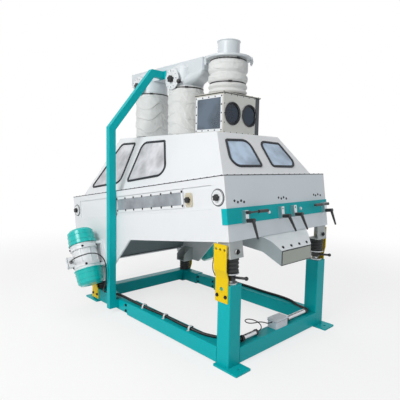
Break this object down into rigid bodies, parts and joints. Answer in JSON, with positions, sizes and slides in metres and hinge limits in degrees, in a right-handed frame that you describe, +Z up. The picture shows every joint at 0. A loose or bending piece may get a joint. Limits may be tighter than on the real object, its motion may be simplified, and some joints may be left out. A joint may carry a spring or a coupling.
{
  "type": "gravity destoner",
  "caption": "Gravity destoner: a sprung, tilted deck casing with a windowed hood, fabric duct sleeves, vibration motors and a stone spout on a welded base frame.",
  "frame": {"origin": "centre of the four anchor holes, at floor level", "axes": "+Z up, -Y towards the raised stone end, +X across the machine, away from the side with the gauge and the post"},
  "size_m": [1.4865, 1.8281, 1.865],
  "materials": {
    "base_paint": "gloss turquoise powder coat",
    "white_paint": "satin white enamel",
    "gray_paint": "satin gray enamel",
    "dark_paint": "satin dark gray enamel",
    "yellow_paint": "gloss yellow paint",
    "zinc_steel": "zinc plated steel",
    "deck_steel": "woven steel screen on a steel frame",
    "cast_iron": "machined casting",
    "black_rubber": "matt black rubber",
    "black_plastic": "moulded black plastic",
    "beige_plastic": "moulded beige plastic",
    "box_plastic": "moulded gray plastic",
    "sleeve_cloth": "white woven filter cloth",
    "clear_pane": "clear acrylic pane"
  },
  "bodies": {
    "base_frame": {"foot_plates": "base_paint", "cross_beams": "base_paint", "left_rail": "base_paint", "right_rail": "base_paint", "rail_splices": "base_paint", "front_columns": "base_paint", "spring_jacks": "zinc_steel", "lock_plates": "yellow_paint", "frame_bolts": "zinc_steel", "support_post": "base_paint", "exhaust_trunk": "white_paint", "valve_index_plates": "white_paint", "inlet_pipe": "white_paint", "junction_box": "box_plastic", "cable_conduits": "black_plastic", "junction_cable": "black_rubber", "conduit_clips": "white_paint", "front_springs": "black_rubber", "rear_springs": "black_rubber", "inlet_sleeve": "sleeve_cloth", "duct_sleeves": "sleeve_cloth", "left_motor_cable": "black_rubber", "right_motor_cable": "black_rubber"},
    "casing": {"left_side_panel": "white_paint", "right_side_panel": "white_paint", "front_panel": "gray_paint", "colour_band": "base_paint", "rear_cover": "white_paint", "grain_chute": "dark_paint", "hood": "white_paint", "window_gaskets": "black_rubber", "window_panes": "clear_pane", "upper_deck": "deck_steel", "lower_deck": "deck_steel", "head_box": "white_paint", "stone_spout": "gray_paint", "clamp_blocks": "zinc_steel", "spring_brackets": "gray_paint", "side_windows": "clear_pane", "round_covers": "white_paint", "gauge_plate": "beige_plastic", "motor_bodies": "white_paint", "motor_caps": "base_paint"},
    "left_lock_nut": {"left_lock_nut": "zinc_steel"},
    "right_lock_nut": {"right_lock_nut": "zinc_steel"},
    "near_duct_valve": {"near_duct_valve": "black_plastic"},
    "far_duct_valve": {"far_duct_valve": "black_plastic"},
    "grain_flap": {"grain_flap": "zinc_steel"},
    "feed_gate": {"feed_gate": "zinc_steel"},
    "clamp_lever_1": {"clamp_lever_1": "black_plastic"},
    "clamp_lever_2": {"clamp_lever_2": "black_plastic"},
    "clamp_lever_3": {"clamp_lever_3": "black_plastic"},
    "clamp_lever_4": {"clamp_lever_4": "black_plastic"},
    "left_gate_handle": {"left_gate_handle": "black_plastic"},
    "right_gate_handle": {"right_gate_handle": "black_plastic"},
    "near_cover_knob": {"near_cover_knob": "black_plastic"},
    "far_cover_knob": {"far_cover_knob": "black_plastic"},
    "gauge_knob": {"gauge_knob": "black_plastic"},
    "left_rotor": {"left_rotor": "cast_iron"},
    "right_rotor": {"right_rotor": "cast_iron"}
  },
  "joints": [
    {"name": "casing_shake", "type": "slide", "parent": "base_frame", "child": "casing", "axis": [0, -0.891, 0.454], "range_m": [-0.0025, 0.0025], "stiffness_N_per_m": 2000000, "springref_m": 0.00127, "deforming": ["front_springs", "rear_springs", "inlet_sleeve", "duct_sleeves", "left_motor_cable", "right_motor_cable"]},
    {"name": "left_rotor_spin", "type": "hinge", "parent": "casing", "child": "left_rotor", "pos_m": [-0.605, 0.581, 0.38], "axis": [0, 0.454, 0.891], "continuous": true},
    {"name": "right_rotor_spin", "type": "hinge", "parent": "casing", "child": "right_rotor", "pos_m": [0.605, 0.581, 0.38], "axis": [0, 0.454, 0.891], "continuous": true},
    {"name": "clamp_lever_1_turn", "type": "hinge", "parent": "casing", "child": "clamp_lever_1", "pos_m": [-0.364, -0.73806, 0.78468], "axis": [0, 0.9899, -0.1414], "range_deg": [-60, 30]},
    {"name": "clamp_lever_2_turn", "type": "hinge", "parent": "casing", "child": "clamp_lever_2", "pos_m": [-0.046, -0.73806, 0.78468], "axis": [0, 0.9899, -0.1414], "range_deg": [-45, 30]},
    {"name": "clamp_lever_3_turn", "type": "hinge", "parent": "casing", "child": "clamp_lever_3", "pos_m": [0.081, -0.73806, 0.78468], "axis": [0, 0.9899, -0.1414], "range_deg": [-50, 30]},
    {"name": "clamp_lever_4_turn", "type": "hinge", "parent": "casing", "child": "clamp_lever_4", "pos_m": [0.429, -0.73806, 0.78468], "axis": [0, 0.9899, -0.1414], "range_deg": [-60, 30]},
    {"name": "left_gate_handle_lift", "type": "hinge", "parent": "casing", "child": "left_gate_handle", "pos_m": [-0.364, -0.73198, 0.82725], "axis": [0, -0.9899, 0.1414], "range_deg": [0, 75]},
    {"name": "right_gate_handle_lift", "type": "hinge", "parent": "casing", "child": "right_gate_handle", "pos_m": [0.429, -0.73198, 0.82725], "axis": [0, 0.9899, -0.1414], "range_deg": [0, 75]},
    {"name": "near_cover_knob_turn", "type": "hinge", "parent": "casing", "child": "near_cover_knob", "pos_m": [-0.491, -0.63624, 0.90348], "axis": [-1, 0, 0], "range_deg": [-180, 180]},
    {"name": "far_cover_knob_turn", "type": "hinge", "parent": "casing", "child": "far_cover_knob", "pos_m": [-0.491, 0.94867, 0.67707], "axis": [-1, 0, 0], "range_deg": [-180, 180]},
    {"name": "gauge_knob_turn", "type": "hinge", "parent": "casing", "child": "gauge_knob", "pos_m": [-0.482, -0.40445, 0.87138], "axis": [-1, 0, 0], "range_deg": [-180, 180]},
    {"name": "near_valve_turn", "type": "hinge", "parent": "base_frame", "child": "near_duct_valve", "pos_m": [0, 0.185, 1.665], "axis": [1, 0, 0], "range_deg": [0, 90]},
    {"name": "far_valve_turn", "type": "hinge", "parent": "base_frame", "child": "far_duct_valve", "pos_m": [0, 0.6, 1.665], "axis": [1, 0, 0], "range_deg": [0, 90]},
    {"name": "left_nut_turn", "type": "hinge", "parent": "base_frame", "child": "left_lock_nut", "pos_m": [-0.425, -0.68, 0.484], "axis": [0, 0, 1], "range_deg": [0, 150]},
    {"name": "right_nut_turn", "type": "hinge", "parent": "base_frame", "child": "right_lock_nut", "pos_m": [0.425, -0.68, 0.484], "axis": [0, 0, 1], "range_deg": [-200, 0]},
    {"name": "feed_gate_swing", "type": "hinge", "parent": "casing", "child": "feed_gate", "pos_m": [0, -0.3475, 1.408], "axis": [1, 0, 0], "range_deg": [-25, 3], "stiffness_Nm_per_rad": 20, "springref_deg": 4.47},
    {"name": "grain_flap_swing", "type": "hinge", "parent": "casing", "child": "grain_flap", "pos_m": [0, 0.735, 0.286], "axis": [1, 0, 0], "range_deg": [-70, 0], "stiffness_Nm_per_rad": 16, "springref_deg": 14.9}
  ],
  "couplings": [
    {"joint": "right_rotor_spin", "follows": "left_rotor_spin", "ratio": -1}
  ]
}
